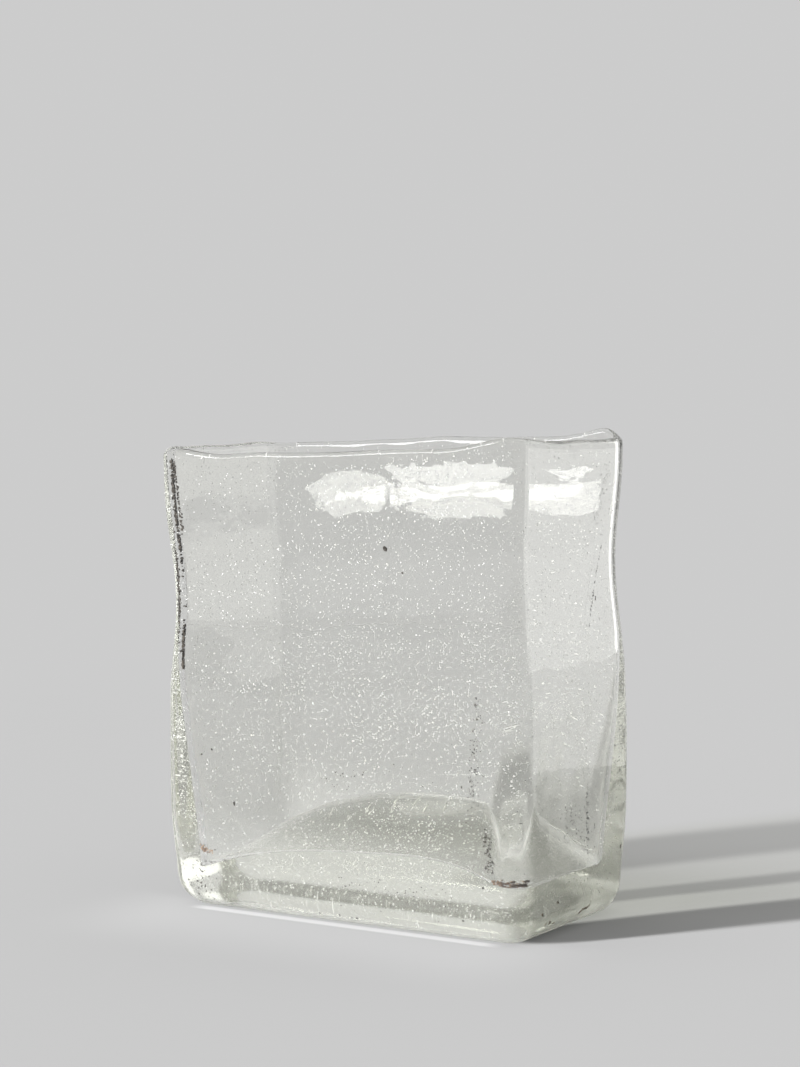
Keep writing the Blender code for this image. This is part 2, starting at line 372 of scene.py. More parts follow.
    def inside(self, x, y, z):
        """A ring of the hollow: as outside, and lifted near the floor to follow the kick."""
        g, m = self.g, self.m
        from_floor = np.clip((z - g.floor_thickness) / (m.height - g.floor_thickness), 0.0, 1.0)
        ring = self.outside(x - g.cavity_shift * self.thickening(z), y, z)
        ring[:, 2] += self.floor_rise(x, y) * (1 - from_floor) ** 2
        return ring

    def rings(self):
        """Every ring of the skin, in order, with its part's name: outer, lip, hollow or floor."""
        m, g = self.m, self.g
        for step in range(self.FOOT_STEPS):
            angle = np.pi / 2 * step / self.FOOT_STEPS
            inset = m.foot_radius * (1 - math.sin(angle))
            z = m.foot_radius * (1 - math.cos(angle))
            x, y = self.outline(inset, float(self.outer_corner(z)) - inset)
            yield "outer", self.outside(x + m.sole_shift * inset / m.foot_radius, y, z)
        high = m.height - g.lip_thickness / 2
        for step in range(self.WALL_STEPS + 1):
            z = m.foot_radius + (high - m.foot_radius) * step / self.WALL_STEPS
            yield "outer", self.outside(*self.outline(0.0, float(self.outer_corner(z))), z)
        radius = g.lip_thickness / 2
        for step in range(1, self.LIP_STEPS):
            angle = np.pi * step / self.LIP_STEPS
            inset = radius * (1 - math.cos(angle))
            z = m.height - radius + radius * math.sin(angle)
            corner = m.corner_radius + (g.cavity_corner_radius - m.corner_radius) * step / self.LIP_STEPS
            yield "lip", self.outside(*self.outline(inset, corner), z)
        low = g.floor_thickness + g.floor_fillet
        for step in range(self.WALL_STEPS + 1):
            z = high + (low - high) * step / self.WALL_STEPS
            yield "hollow", self.inside(*self.outline(float(self.wall(z)), float(self.cavity_corner(z))), z)
        for step in range(1, self.FILLET_STEPS + 1):
            angle = np.pi / 2 * step / self.FILLET_STEPS
            inset = g.floor_fillet * (1 - math.cos(angle))
            z = g.floor_thickness + g.floor_fillet * (1 - math.sin(angle))
            x, y = self.outline(g.wall_at_floor + inset, g.cavity_corner_at_floor - inset)
            yield "floor", self.inside(x, y, z)
        inset = g.wall_at_floor + g.floor_fillet
        half_x = m.width / 2 - inset
        half_y = m.depth / 2 - inset
        for step in range(1, self.FLOOR_STEPS):
            left = 1 - step / self.FLOOR_STEPS
            corner = (g.cavity_corner_at_floor - g.floor_fillet) * left + half_y * left * (1 - left)
            x, y = self.rounded_rectangle(half_x * left, half_y * left, corner)
            yield "floor", self.inside(x, y, g.floor_thickness)


def skin_rings(mesh, rings):
    """Skins the rings in order, and closes both ends. Returns the vertices of each ring."""
    loops = [[mesh.verts.new(point) for point in ring] for ring in rings]
    count = len(loops[0])
    for lower, upper in zip(loops, loops[1:]):
        for here in range(count):
            after = (here + 1) % count
            mesh.faces.new((lower[here], lower[after], upper[after], upper[here]))
    mesh.faces.new(tuple(reversed(loops[0])))
    centre = mesh.verts.new(np.mean(rings[-1], axis=0))
    for here in range(count):
        mesh.faces.new((loops[-1][here], loops[-1][(here + 1) % count], centre))
    return loops


# Ripples grow from this height over the next 20 mm, and calm down to half in the 20 mm above the second.
RIPPLES_FROM = 0.004
RIPPLES_CALM = 0.13
RIPPLES_CHANGE = 0.02


def ripple(mesh, loops, parts, surface):
    """Moves the skin in and out a little, as free-blown glass is: more inside than outside, and not at the sole."""
    mesh.normal_update()
    heights = {"outer": surface.outer_ripple, "lip": 0.0, "hollow": surface.inner_ripple, "floor": 0.0}
    for part, loop in zip(parts, loops):
        height = heights[part]
        if not height:
            continue
        for vertex in loop:
            place = vertex.co / surface.ripple_length
            seed = 0.0 if part == "outer" else 17.3
            coarse = noise.noise(place + Vector((seed, 0.0, 0.0)))
            fine = noise.noise(place * 2.9 + Vector((0.0, seed, 5.1)))
            above_foot = min(max((vertex.co.z - RIPPLES_FROM) / RIPPLES_CHANGE, 0.0), 1.0)
            fade = above_foot * (1 - 0.5 * float(ease((vertex.co.z - RIPPLES_CALM) / RIPPLES_CHANGE)))
            vertex.co += vertex.normal * height * fade * (coarse + 0.35 * fine)


def mesh_data(name, mesh):
    """Turns the working mesh into mesh data, and frees it."""
    data = bpy.data.meshes.new(name)
    mesh.to_mesh(data)
    mesh.free()
    return data


def put(name, data, material):
    """Puts the mesh data in the scene as one object with one material."""
    data.materials.append(material)
    thing = bpy.data.objects.new(name, data)
    bpy.context.scene.collection.objects.link(thing)
    return thing


def feed(tree, node, feeds):
    """Sets a node's inputs to plain values, or links other nodes' outputs to them."""
    for key, value in feeds.items():
        if isinstance(value, bpy.types.NodeSocket):
            tree.links.new(value, node.inputs[key])
        else:
            node.inputs[key].default_value = value


def add_node(tree, kind, feeds=None, **values):
    """Adds a node, sets its plain attributes and feeds its inputs."""
    node = tree.nodes.new(kind)
    for key, value in values.items():
        setattr(node, key, value)
    feed(tree, node, feeds or {})
    return node


def maths(tree, operation, *terms):
    """A sum made of node outputs and numbers."""
    return add_node(tree, "ShaderNodeMath", dict(enumerate(terms)), operation=operation).outputs[0]


def scaled(tree, value, factor, offset=0.0):
    """A node output times a number, plus another number or output."""
    return maths(tree, "MULTIPLY_ADD", value, factor, offset)


def product(tree, one, other):
    """Two node outputs multiplied."""
    return maths(tree, "MULTIPLY", one, other)


def stepped(tree, value, start, end, low=0.0, high=1.0, kind="SMOOTHSTEP"):
    """A step of a node output, smooth if not told otherwise: low up to start, and high from end on."""
    feeds = {"Value": value, "From Min": start, "From Max": end, "To Min": low, "To Max": high}
    return add_node(tree, "ShaderNodeMapRange", feeds, interpolation_type=kind).outputs["Result"]


def blend(tree, share_of_other, one, other, **values):
    """A mix of two colours."""
    feeds = {"Factor": share_of_other, "A": one, "B": other}
    return add_node(tree, "ShaderNodeMix", feeds, data_type="RGBA", **values).outputs["Result"]


def vector_maths(tree, operation, one, other=None):
    """A number made of one or two vectors."""
    feeds = {0: one} if other is None else {0: one, 1: other}
    return add_node(tree, "ShaderNodeVectorMath", feeds, operation=operation).outputs["Value"]


def object_place(tree):
    """Where on the object the shaded spot lies."""
    return add_node(tree, "ShaderNodeTexCoord").outputs["Object"]


def cloud(tree, place, scale, detail=2.0):
    """A cloudy noise from about 0 to 1."""
    feeds = {"Vector": place, "Scale": scale, "Detail": detail}
    return add_node(tree, "ShaderNodeTexNoise", feeds).outputs["Fac"]


def roughen(tree, shader, relief, strength, distance):
    """Gives the shader a fine relief."""
    bump = add_node(tree, "ShaderNodeBump", {"Strength": strength, "Distance": distance, "Height": relief})
    tree.links.new(bump.outputs["Normal"], shader.inputs["Normal"])


def new_material(name):
    """A material with nodes, with its node tree and its main shader."""
    material = bpy.data.materials.new(name)
    material.use_nodes = True
    return material, material.node_tree, material.node_tree.nodes["Principled BSDF"]


def opaque(shade):
    """A colour with its alpha."""
    return (*shade, 1.0)


# In plan, across and along the lamp's light as it crosses the vase.
ACROSS_LIGHT = (0.866, -0.5, 0.0)
ALONG_LIGHT = (0.5, 0.866, 0.0)
# Where across the light it leaves the vase, and the share of it that does: painted bands, which paint the dark and
# pale stripes of the vase's shadow.
SHADOW_BANDS = (
    (-0.098, 0.57),
    (-0.025, 0.57),
    (-0.015, 0.97),
    (0.013, 0.97),
    (0.018, 0.54),
    (0.030, 0.54),
    (0.035, 1.0),
    (0.056, 1.0),
    (0.060, 0.24),
    (0.098, 0.24),
)
# What every other skin lets through of it.
CLEAR_SKIN = (0.985, 0.985, 0.98)
GLASS_IOR = 1.5
SHELL_IOR = 1.2
# Noise scales: cords in the skin, clouds of fine seeds, and patches on a bubble.
CORD_SCALE = 90.0
CLOUD_SCALE = 38.0
PATCH_SCALE = 700.0
# Heights, from where it starts to where it is whole: the hazy base, the worn sole, the base's deeper painted shadow.
HAZY_BASE = (0.044, 0.020)
WORN_SOLE = (0.004, 0.0008)
THICK_BASE = (0.046, 0.024)


def seed_specks(tree, place, surface):
    """Seeds too fine to model, that lie against the skin: 1 on a speck and 0 between specks."""
    cells = add_node(tree, "ShaderNodeTexVoronoi", {"Scale": surface.speck_density, "Vector": place})
    dots = stepped(tree, cells.outputs["Distance"], 0.15, 0.09)
    sort = add_node(tree, "ShaderNodeSeparateColor", {"Color": cells.outputs["Color"]})
    return product(tree, dots, stepped(tree, sort.outputs[0], 0.35, 0.75))


def lamp_share(tree, place, height, surface):
    """What a skin keeps of the lamp's light: painted bands where the light leaves the vase, which paint the stripes
    of its shadow and a deeper shadow behind the base, and nearly all elsewhere.
    """
    first, last = SHADOW_BANDS[0][0], SHADOW_BANDS[-1][0]
    spread = stepped(tree, vector_maths(tree, "DOT_PRODUCT", place, ACROSS_LIGHT), first, last, kind="LINEAR")
    bands = add_node(tree, "ShaderNodeValToRGB", {"Fac": spread})
    stops = bands.color_ramp.elements
    for index, (where, level) in enumerate(SHADOW_BANDS):
        spot = (where - first) / (last - first)
        stop = stops[index] if index < 2 else stops.new(spot)
        stop.position = spot
        stop.color = (level, level, level * 0.995, 1.0)
    in_base = stepped(tree, height, *THICK_BASE)
    band = blend(tree, in_base, bands.outputs["Color"], opaque(surface.thick_shadow), blend_type="MULTIPLY")
    far_side = stepped(tree, vector_maths(tree, "DOT_PRODUCT", place, ALONG_LIGHT), 0.006, 0.014)
    back = add_node(tree, "ShaderNodeNewGeometry").outputs["Backfacing"]
    leaves = product(tree, far_side, stepped(tree, back, 1.0, 0.0))
    return blend(tree, leaves, opaque(CLEAR_SKIN), band)


def blown_glass(surface):
    """Clear soda glass with a faint grey-green cast, skin ripples, fine seed specks and a worn sole."""
    material, tree, glass = new_material("blown_bubble_glass")
    output = tree.nodes["Material Output"]
    place = object_place(tree)
    height = add_node(tree, "ShaderNodeSeparateXYZ", {"Vector": place}).outputs["Z"]
    cords = cloud(tree, place, CORD_SCALE)
    low = stepped(tree, height, *HAZY_BASE)
    specks = seed_specks(tree, place, surface)
    haze = scaled(tree, cords, surface.roughness * 2.0)
    haze = scaled(tree, low, surface.base_roughness, haze)
    haze = scaled(tree, stepped(tree, height, *WORN_SOLE), surface.sole_roughness, haze)
    clouds = cloud(tree, place, CLOUD_SCALE, 4.0)
    clear = stepped(tree, clouds, 0.35, 0.70, 1.0 - surface.veil * 0.3, 1.0 - surface.veil)
    clear = scaled(tree, low, -surface.base_milk, clear)
    clear = scaled(tree, specks, -surface.speck_strength, clear)
    skin = {"Base Color": opaque(surface.skin_colour), "IOR": GLASS_IOR, "Roughness": haze}
    feed(tree, glass, {**skin, "Transmission Weight": clear})
    roughen(tree, glass, scaled(tree, specks, 0.35, cords), 0.12, 0.0004)
    cast = {"Color": opaque(surface.tint), "Density": surface.tint_density}
    tint = add_node(tree, "ShaderNodeVolumeAbsorption", cast)
    tree.links.new(tint.outputs["Volume"], output.inputs["Volume"])

    # Lamps shine through the skin, which would otherwise throw a black shadow.
    through = add_node(tree, "ShaderNodeBsdfTransparent", {"Color": lamp_share(tree, place, height, surface)})
    shadow = add_node(tree, "ShaderNodeLightPath").outputs["Is Shadow Ray"]
    mix = add_node(tree, "ShaderNodeMixShader", {0: shadow, 1: glass.outputs[0], 2: through.outputs[0]})
    tree.links.new(mix.outputs[0], output.inputs["Surface"])
    return material


def trapped_air(seeds):
    """Silvery air bubbles: their skins throw the lamp's light back, some more clearly than others."""
    material, tree, air = new_material("trapped_air")
    patches = cloud(tree, object_place(tree), PATCH_SCALE)
    clear, rough = seeds.clearness, seeds.bubble_roughness
    skin = {
        "IOR": SHELL_IOR,
        "Transmission Weight": stepped(tree, patches, 0.0, 1.0, clear * 1.7, clear * 0.3, "LINEAR"),
        "Roughness": stepped(tree, patches, 0.0, 1.0, rough * 0.6, rough * 1.4, "LINEAR"),
        "Base Color": blend(tree, patches, (0.72, 0.725, 0.70, 1.0), (0.92, 0.92, 0.90, 1.0)),
    }
    feed(tree, air, skin)
    roughen(tree, air, patches, 0.2, 0.0001)
    return material


class GLASSVASE_OT_blow_body(bpy.types.Operator):
    """Blow the vase's body in its mould, with its rim, hollow and kicked floor"""

    bl_idname = "glassvase.blow_body"
    bl_label = "Blow the Body"
    bl_options = {"REGISTER", "UNDO"}

    def execute(self, context):
        scene = context.scene
        form = VaseForm(scene.vase_mould, scene.vase_glass, scene.vase_surface)
        parts, rings = zip(*form.rings())
        rings = np.array(rings)
        middle = (rings.reshape(-1, 3).min(axis=0) + rings.reshape(-1, 3).max(axis=0)) / 2
        rings[:, :, 0] -= middle[0]
        rings[:, :, 1] -= middle[1]
        mesh = bmesh.new()
        loops = skin_rings(mesh, rings)
        ripple(mesh, loops, parts, scene.vase_surface)
        bmesh.ops.recalc_face_normals(mesh, faces=mesh.faces)
        data = mesh_data("blown_body", mesh)
        data.shade_smooth()
        body = put("blown_body", data, blown_glass(scene.vase_surface))
        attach(body, "root")
        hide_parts(CAD_NODE)
        return {"FINISHED"}


# Bubbles lower than this belong to the base.
BASE_TOP = 0.030
# Below the first radius a bubble is an octahedron, below the second it has 20 faces, and above it 80.
BALL_SIZES = (0.00018, 0.00031)
# The share of the tries that is made in the base, the glass left over each bubble, and when to give up.
BASE_SHARE = 0.3
LEAST_COVER = 0.00012
MOST_TRIES = 900000


def skin_tree(what_for):
    """The blown body and a tree of its faces to measure from."""
    body = bpy.data.objects.get("blown_body")
    if body is None:
        raise RuntimeError(f"blow the body before {what_for}")
    corners = [vertex.co[:] for vertex in body.data.vertices]
    return body, BVHTree.FromPolygons(corners, [face.vertices[:] for face in body.data.polygons])


def ball_shape(maker, **values):
    """The corners and the faces of a ball of radius 1, made by a bmesh operation."""
    ball = bmesh.new()
    maker(ball, radius=1.0, **values)
    corners = np.array([vertex.co[:] for vertex in ball.verts])
    faces = [[vertex.index for vertex in face.verts] for face in ball.faces]
    ball.free()
    return corners, faces


def put_grains(name, points, skins, material, smooth):
    """Puts many small closed shells in the scene as one piece that throws no shadow."""
    data = bpy.data.meshes.new(name)
    data.from_pydata(points, [], skins)
    if smooth:
        data.shade_smooth()
    piece = put(name, data, material)
    piece.visible_shadow = False
    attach(piece, "root")


def region_of(place):
    """Which set of bubbles a place in the glass belongs to."""
    if place.z < BASE_TOP:
        return "base"
    near_front = place.y < -0.030 or place.x > 0.062
    return "front" if near_front else "back"


def seediness(place):
    """How crowded the bubbles are at this place, up to about 1: clouds, thick at the waist and towards +X."""
    coarse = noise.noise(place / 0.026 + Vector((9.1, 2.2, 4.4)))
    fine = noise.noise(place / 0.009 + Vector((1.7, 6.3, 2.9)))
    if place.z < BASE_TOP:
        return 0.75 + 0.35 * coarse
    waist = float(bell((place.z - 0.100) / 0.085))
    crowd = 0.28 + 0.40 * waist * (0.8 + 3.2 * place.x) + 2.0 * max(place.x, 0.0)
    return crowd + 0.55 * coarse + 0.35 * fine


class GLASSVASE_OT_trap_bubbles(bpy.types.Operator):
    """Trap the seed bubbles in the glass of the walls and the base"""

    bl_idname = "glassvase.trap_bubbles"
    bl_label = "Trap the Bubbles"
    bl_options = {"REGISTER", "UNDO"}

    def execute(self, context):
        seeds = context.scene.vase_bubbles
        body, tree = skin_tree("trapping its bubbles")
        dice = random.Random(seeds.seed)
        wanted = {"front": seeds.front_count, "back": seeds.back_count, "base": seeds.base_count}
        found = {region: [] for region in wanted}
        skin = [face for face in body.data.polygons if face.center.z > 0.02 and self.faces_out(face)]
        reach = list(itertools.accumulate(face.area for face in skin))
        tries = 0
        while any(len(found[region]) < wanted[region] for region in wanted):
            tries += 1
            if tries > MOST_TRIES:
                raise RuntimeError("the glass has no room for so many bubbles")
            if dice.random() < BASE_SHARE:
                low, high = Vector(CAD_BOX[0]), Vector(CAD_BOX[1])
                spans = ((low.x, high.x), (low.y, high.y), (0.0, BASE_TOP))
                place = Vector([dice.uniform(*span) for span in spans])
            else:
                face = dice.choices(skin, cum_weights=reach)[0]
                start = face.center + self.within(body.data, face, dice)
                far, _, _, thickness = tree.ray_cast(start - face.normal * 0.0003, -face.normal, 0.03)
                if far is None or start.z < BASE_TOP:
                    continue
                place = start - face.normal * (thickness * dice.uniform(0.08, 0.92) + 0.0003)
            region = region_of(place)
            if len(found[region]) >= wanted[region] or dice.random() > seediness(place):
                continue
            radius = seeds.smallest * (seeds.largest / seeds.smallest) ** (dice.random() ** seeds.crowding)
            spot, normal, _, distance = tree.find_nearest(place, 0.025)
            if spot is None or (place - spot).dot(normal) > 0 or distance < radius + LEAST_COVER:
                continue
            found[region].append((place, radius, normal.copy()))
        material = trapped_air(seeds)
        for region, places in found.items():
            self.make_region(region, places, dice, seeds, material)
        return {"FINISHED"}

    def faces_out(self, face):
        """Whether a face of the upright skin looks away from the vase's middle."""
        normal, middle = face.normal, face.center
        return abs(normal.z) < 0.7 and normal.x * middle.x + normal.y * middle.y > 0

    def within(self, data, face, dice):
        """A random step from a four-cornered face's middle that stays in it."""
        corners = [data.vertices[index].co for index in face.vertices]
        along = (corners[1] - corners[0]) * dice.uniform(-0.5, 0.5)
        up = (corners[-1] - corners[0]) * dice.uniform(-0.5, 0.5)
        return along + up

    def make_region(self, region, places, dice, seeds, material):
        """Makes one region's bubbles as one piece of closed shells, drawn out along the wall."""
        shapes = [ball_shape(bmesh.ops.create_uvsphere, u_segments=4, v_segments=2)]
        shapes += [ball_shape(bmesh.ops.create_icosphere, subdivisions=finer) for finer in (1, 2)]
        points, skins, count = [], [], 0
        for place, radius, normal in places:
            corners, faces = shapes[bisect.bisect(BALL_SIZES, radius)]
            along = Vector((0, 0, 1)).cross(normal)
            if along.length < 0.3:
                along = Vector((1, 0, 0))
            along.normalize()
            across = normal.cross(along).normalized()
            turn = dice.gauss(0.0, 0.3)
            long_way = np.array(along * math.cos(turn) + across * math.sin(turn))
            short_way = np.array(across * math.cos(turn) - along * math.sin(turn))
            out = np.cross(long_way, short_way)
            stretch = 1 + (seeds.stretch - 1) * dice.random() ** 3.0
            squash = 1 / math.sqrt(stretch)
            points.append(
                np.array(place)
                + radius * corners[:, :1] * long_way * stretch
                + radius * corners[:, 1:2] * short_way * squash
                + radius * corners[:, 2:] * out * squash
            )
            skins.extend([count + index for index in face] for face in faces)
            count += len(corners)
        put_grains(f"bubbles_{region}", np.concatenate(points).tolist(), skins, material, smooth=True)


# What the glass shows of the room: azimuth, elevation, where it is whole, where it ends, in degrees, and colour.
ROOM_WALLS = {
    "dark_front": (20.0, 28.0, 62.0, 96.0, (0.18, 0.18, 0.18)),
    "ceiling": (0.0, 88.0, 10.0, 40.0, (0.42, 0.43, 0.44)),
    "left_wall": (-95.0, 12.0, 10.0, 40.0, (0.35, 0.35, 0.34)),
}
# Dark stones and specks: x, y, z and radius, each near the skin that it lies under.
STONES = (
    (0.0206, -0.0435, 0.1426, 0.00100),
    (0.0278, -0.0435, 0.1341, 0.00045),
    (-0.0443, -0.0435, 0.0429, 0.00060),
    (-0.0592, -0.0435, 0.0604, 0.00040),
    (-0.0545, -0.0435, 0.0627, 0.00045),
    (0.0638, -0.0435, 0.0218, 0.00050),
    (0.0551, -0.0425, 0.0087, 0.00055),
    (-0.0085, -0.0400, 0.0041, 0.00050),
    (0.0003, -0.0400, 0.0044, 0.00055),
    (0.0056, -0.0400, 0.0038, 0.00045),
    (0.0078, -0.0400, 0.0037, 0.00050),
    (-0.0715, 0.0430, 0.1765, 0.00060),
    (-0.0466, 0.0430, 0.1770, 0.00050),
    (0.0105, 0.0430, 0.1800, 0.00050),
)
# Lines of fine dark specks in the drawn-in corners: start, end, spread, count and radius.
SEAMS = (
    ((-0.0737, -0.0395, 0.1725), (-0.0728, -0.0395, 0.1450), 0.0006, 170, 0.00042),
    ((-0.0722, -0.0398, 0.1720), (-0.0702, -0.0395, 0.1440), 0.0005, 110, 0.00036),
    ((-0.0730, -0.0395, 0.1430), (-0.0706, -0.0390, 0.0920), 0.0007, 380, 0.00040),
    ((0.0765, 0.0240, 0.1420), (0.0765, 0.0110, 0.1120), 0.0004, 70, 0.00026),
    ((0.0740, 0.0260, 0.1690), (0.0740, 0.0180, 0.1500), 0.0028, 70, 0.00024),
    ((0.0700, 0.0120, 0.0540), (0.0690, 0.0160, 0.0240), 0.0010, 90, 0.00026),
    ((0.0600, -0.0360, 0.0900), (0.0560, -0.0350, 0.0450), 0.0022, 160, 0.00024),
    ((0.0620, -0.0350, 0.0400), (0.0640, -0.0350, 0.0270), 0.0018, 90, 0.00030),
    ((-0.0500, 0.0240, 0.0330), (0.0380, 0.0240, 0.0400), 0.0040, 260, 0.00024),
    ((-0.0700, -0.0380, 0.0220), (-0.0550, -0.0400, 0.0060), 0.0070, 130, 0.00028),
    ((0.0740, -0.0060, 0.0440), (0.0740, 0.0160, 0.0300), 0.0060, 150, 0.00024),
    ((0.0000, -0.0380, 0.0160), (0.0500, -0.0380, 0.0130), 0.0060, 160, 0.00022),
)
# Brown stains, as runs of small flakes, in the same order.
STAINS = (
    ((0.0640, -0.0330, 0.0225), (0.0700, -0.0260, 0.0215), 0.0012, 60, 0.00040),
    ((0.0650, -0.0360, 0.0185), (0.0700, -0.0300, 0.0180), 0.0008, 24, 0.00030),
    ((0.0780, 0.0014, 0.0056), (0.0780, 0.0101, 0.0078), 0.0005, 30, 0.00045),
    ((0.0760, -0.0244, 0.0075), (0.0760, -0.0159, 0.0072), 0.0006, 18, 0.00040),
    ((0.0780, -0.0168, 0.0139), (0.0780, -0.0160, 0.0130), 0.0004, 5, 0.00040),
    ((0.0780, -0.0282, 0.0111), (0.0780, -0.0278, 0.0108), 0.0003, 4, 0.00040),
    ((0.0785, 0.0184, 0.1231), (0.0785, 0.0178, 0.1218), 0.0003, 6, 0.00035),
    ((0.0785, 0.0336, 0.0263), (0.0785, 0.0338, 0.0258), 0.0003, 4, 0.00035),
    ((-0.0650, -0.0300, 0.0225), (-0.0600, -0.0330, 0.0220), 0.0010, 40, 0.00035),
)


def mineral(name, dark, light, scale):
    """A dull mineral colour that varies from grain to grain."""
    material, tree, grain = new_material(name)
    grit = cloud(tree, object_place(tree), scale)
    shade = blend(tree, stepped(tree, grit, 0.35, 0.65), opaque(dark), opaque(light))
    feed(tree, grain, {"Base Color": shade, "Roughness": stepped(tree, grit, 0.3, 0.7, 0.55, 0.85)})
    roughen(tree, grain, grit, 0.4, 0.0002)
    return material


class GLASSVASE_OT_scatter_stones(bpy.types.Operator):
    """Set the dark stones and the brown stains just under the vase's skin"""

    bl_idname = "glassvase.scatter_stones"
    bl_label = "Scatter the Stones"
    bl_options = {"REGISTER", "UNDO"}

    def execute(self, context):
        _, tree = skin_tree("setting its stones")
        dice = random.Random(context.scene.vase_bubbles.seed + 1)
        stones = [(Vector(row[:3]), row[3]) for row in STONES]
        for seam in SEAMS:
            stones += self.run_of_grains(seam, dice)
        stains = []
        for run in STAINS:
            stains += self.run_of_grains(run, dice)
        grey = mineral("dark_stone", (0.012, 0.011, 0.010), (0.09, 0.08, 0.07), 900.0)
        brown = mineral("brown_stain", (0.10, 0.045, 0.02), (0.30, 0.19, 0.11), 700.0)
        self.make_grains("dark_stones", stones, tree, dice, grey)
        self.make_grains("brown_stains", stains, tree, dice, brown)
        return {"FINISHED"}

    def run_of_grains(self, run, dice):
        """Places and sizes of the grains along a run, thinning out to both sides of it."""
        start, end, spread, count, radius = run
        grains = []
        for index in range(count):
            place = Vector(start).lerp(Vector(end), dice.random())
            place += Vector((dice.gauss(0, 1), dice.gauss(0, 1), dice.gauss(0, 1))) * spread * 0.6
            grains.append((place, radius * dice.uniform(0.4, 1.3)))
        return grains

    def make_grains(self, name, grains, tree, dice, material):
        """Makes irregular flattened grains, each lying just inside the nearest skin."""
        corners, faces = ball_shape(bmesh.ops.create_icosphere, subdivisions=1)
        points, skins = [], []
        for place, radius in grains:
            spot, normal, _, _ = tree.find_nearest(place)
            lie = normal.to_track_quat("Z", "Y") @ Quaternion((0, 0, 1), dice.uniform(0, 2 * math.pi))
            longer = dice.uniform(1.0, 1.8)
            centre = spot - normal * (radius * 0.5 + 0.0001)
            start = len(points)
            for corner in corners:
                rough = Vector(corner) * dice.uniform(0.75, 1.2)
                flat = Vector((rough.x * longer, rough.y, rough.z * 0.45)) * radius
                points.append((centre + lie @ flat)[:])
            skins.extend([start + index for index in face] for face in faces)
        put_grains(name, points, skins, material, smooth=False)


def bearing(azimuth, elevation):
    """The unit direction at this azimuth, round from -Y towards +X, and elevation, both in radians."""
    flat = math.cos(elevation)
    return Vector((math.sin(azimuth) * flat, -math.cos(azimuth) * flat, math.sin(elevation)))


def seen_directly(tree):
    """1 for rays from the camera, or seen in or through the glass, and 0 for light on the pieces."""
    path = add_node(tree, "ShaderNodeLightPath").outputs
    direct = maths(tree, "MAXIMUM", path["Is Camera Ray"], path["Is Glossy Ray"])
    return maths(tree, "MAXIMUM", direct, path["Is Transmission Ray"])


# The round sheet of paper lies just under the sole.
PAPER_RADII = (0.4, 1.2, 4.0, 14.0)
PAPER_SIDES = 48
PAPER_DROP = 0.0002
FOOT_LINE_Y = -0.0385
VASE_HALVES = (0.080, 0.045)
# The card and the window are slightly curved sheets, and the card stands just clear of the paper.
SHEET_BEND = 0.08
SHEET_STRIPS = 8
CARD_FOOT = 0.001


